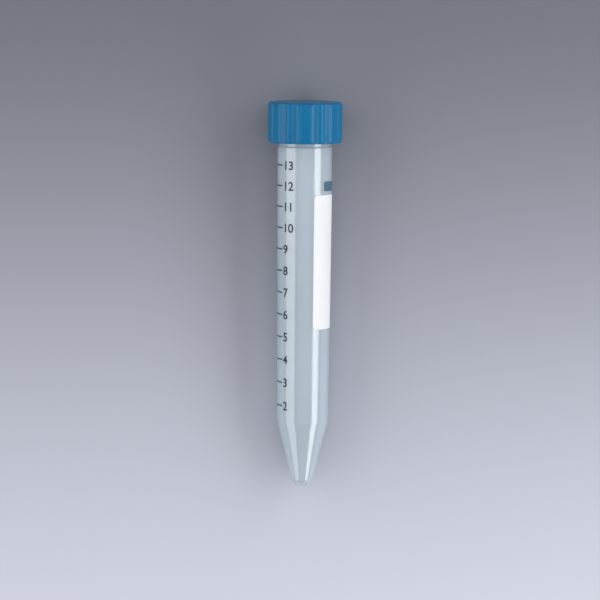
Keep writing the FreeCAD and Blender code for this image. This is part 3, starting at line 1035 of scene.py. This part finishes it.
class TUBE_OT_graduations(Operator):
    """Prints the graduation lines and the numerals beside them"""

    bl_idname = "conical_tube.graduations"
    bl_label = "Graduations"

    def execute(self, context):
        scene = context.scene
        sizes, tube = scene.tube_print, scene.tube_sizes
        marks = mark_heights()
        radius = barrel_radius(tube, (marks[0] + marks[-1]) / 2)
        arcs = [radius * angle for angle in MARK_ANGLES]
        heights = (marks[0] - sizes.line / 2, marks[0] + sizes.line / 2)
        lines = flat_field("graduation_ticks", heights, arcs, sizes.line_corner)
        edit(lines)
        bpy.ops.mesh.select_all(action="SELECT")
        for lower, upper in zip(marks, marks[1:]):
            bpy.ops.mesh.duplicate_move(TRANSFORM_OT_translate={"value": (0, 0, upper - lower)})
        colours = scene.tube_finishes
        dark = ink("dark_ink", colours.dark_ink, colours.dark_roughness)
        wrap_print(lines, radius, dark, "graduation_lines")
        left = radius * sizes.numeral_left
        numerals = [
            numeral(
                str(sizes.first_mark + step), left, height, sizes.numeral_size,
                sizes.numeral_weight,
            )
            for step, height in enumerate(marks)
        ]
        only(numerals[0])
        for piece in numerals:
            piece.select_set(True)
        bpy.ops.object.join()
        numerals[0].name = "graduation_numerals"
        wrap_print(numerals[0], radius, dark, None)
        return {"FINISHED"}


UP = Vector((0, 0, 1))
LONG_SIDE = Vector((0, 1, 0))  # the lights' long side runs along the tube
FLOOR_CELLS = 8  # faces along each side of the floor
FAR_LIMIT = 20  # metres that the camera sees


def softbox(name, target, direction, distance, size, power):
    """A soft area light that faces the tube, with its size across the tube and along it."""
    deselect_all()
    bpy.ops.object.light_add(type="AREA")
    light = bpy.context.object
    across = LONG_SIDE.cross(direction).normalized()
    turn = Matrix((across, direction.cross(across), direction)).transposed()
    light.matrix_world = Matrix.Translation(target + direction * distance) @ turn.to_4x4()
    light.name = name
    light.data.shape = "RECTANGLE"
    light.data.size, light.data.size_y = size
    light.data.energy = power
    return light


def add_floor(stage):
    """The floor, at the height that the tube lies on."""
    deselect_all()
    bpy.ops.mesh.primitive_grid_add(
        x_subdivisions=FLOOR_CELLS, y_subdivisions=FLOOR_CELLS, size=stage.floor_size,
        location=(0, 0, CAD_BOX[0].z),
    )
    floor = bpy.context.object
    floor.name = "floor"
    bpy.ops.object.transform_apply(location=True, rotation=True, scale=True)
    floor.data.materials.append(painted_floor())


def add_camera(stage, aim):
    """The camera, which looks down on the printed front."""
    towards = -BACK * math.cos(stage.camera_raise) + ALONG * math.sin(stage.camera_raise)
    bpy.ops.object.camera_add()
    camera = bpy.context.object
    camera.name = "camera"
    camera.data.lens = stage.lens
    camera.data.clip_end = FAR_LIMIT
    distance = stage.view_width * stage.lens / camera.data.sensor_width
    level = Matrix((ACROSS, towards.cross(ACROSS), towards)).transposed()
    turn = Matrix.Rotation(stage.camera_lean, 3, towards) @ level
    camera.matrix_world = Matrix.Translation(aim + towards * distance) @ turn.to_4x4()
    bpy.context.scene.camera = camera


def add_lights(stage, aim):
    """A strip light on the right, a broad one on the left, and one overhead without a glint."""
    right = UP * math.cos(stage.key_angle) + ACROSS * math.sin(stage.key_angle)
    left = UP * math.cos(stage.fill_angle) - ACROSS * math.sin(stage.fill_angle)
    overhead = (UP + stage.top_lean * ALONG).normalized()
    key_size = (stage.key_width, stage.light_length)
    fill_size = (stage.fill_width, stage.light_length)
    top_size = (stage.top_width, stage.light_length)
    softbox("strip_light", aim, right, stage.key_distance, key_size, stage.key_power)
    softbox("broad_light", aim, left, stage.fill_distance, fill_size, stage.fill_power)
    top = softbox("top_light", aim, overhead, stage.top_distance, top_size, stage.top_power)
    top.visible_glossy = False


def add_room(stage):
    """The even white light from all round."""
    world = bpy.data.worlds.new("room")
    world.use_nodes = True
    background = world.node_tree.nodes["Background"]
    background.inputs["Color"].default_value = opaque((1.0, 1.0, 1.0))
    background.inputs["Strength"].default_value = stage.room
    bpy.context.scene.world = world


class TUBE_OT_stage(Operator):
    """Adds the pale floor, the soft lights and the camera"""

    bl_idname = "conical_tube.stage"
    bl_label = "Stage"

    def execute(self, context):
        stage = context.scene.tube_stage
        aim = TIP + ALONG * stage.aim_height - ACROSS * stage.aim_side
        add_floor(stage)
        add_camera(stage, aim)
        add_lights(stage, aim)
        add_room(stage)
        context.scene.view_settings.view_transform = "Standard"
        return {"FINISHED"}


class TUBE_PT_panel(Panel):
    """Builds the tube, piece by piece"""

    bl_label = "Conical tube"
    bl_idname = "TUBE_PT_panel"
    bl_space_type = "VIEW_3D"
    bl_region_type = "UI"
    bl_category = "Tube"

    def draw(self, context):
        for name, label, _ in SETTINGS:
            box = self.layout.box()
            box.label(text=label)
            group = getattr(context.scene, name)
            for key in group.bl_rna.properties.keys():
                if key not in ("rna_type", "name"):
                    box.prop(group, key)
        for operator in OPERATORS:
            self.layout.operator(operator.bl_idname)


SETTINGS = [
    ("tube_sizes", "Tube", TubeSizes),
    ("tube_thread", "Thread", ThreadSizes),
    ("tube_cap", "Cap", CapSizes),
    ("tube_print", "Print", PrintSizes),
    ("tube_finishes", "Finishes", Finishes),
    ("tube_stage", "Stage", StageSettings),
]
OPERATORS = [
    TUBE_OT_tube, TUBE_OT_cap, TUBE_OT_liner, TUBE_OT_panel, TUBE_OT_graduations, TUBE_OT_stage,
]
CLASSES = [*(kind for _, _, kind in SETTINGS), *OPERATORS, TUBE_PT_panel]


def register():
    """Adds the settings, the operators and the panel to Blender."""
    for kind in CLASSES:
        bpy.utils.register_class(kind)
    for name, _, kind in SETTINGS:
        setattr(bpy.types.Scene, name, PointerProperty(type=kind))


def unregister():
    """Takes them away again."""
    for name, _, _ in SETTINGS:
        delattr(bpy.types.Scene, name)
    for kind in reversed(CLASSES):
        bpy.utils.unregister_class(kind)


def main():
    """Builds the tube and its stage."""
    register()
    bpy.ops.conical_tube.tube()
    bpy.ops.conical_tube.cap()
    bpy.ops.conical_tube.liner()
    bpy.ops.conical_tube.panel()
    bpy.ops.conical_tube.graduations()
    bpy.ops.conical_tube.stage()


if __name__ == "__main__":
    main()
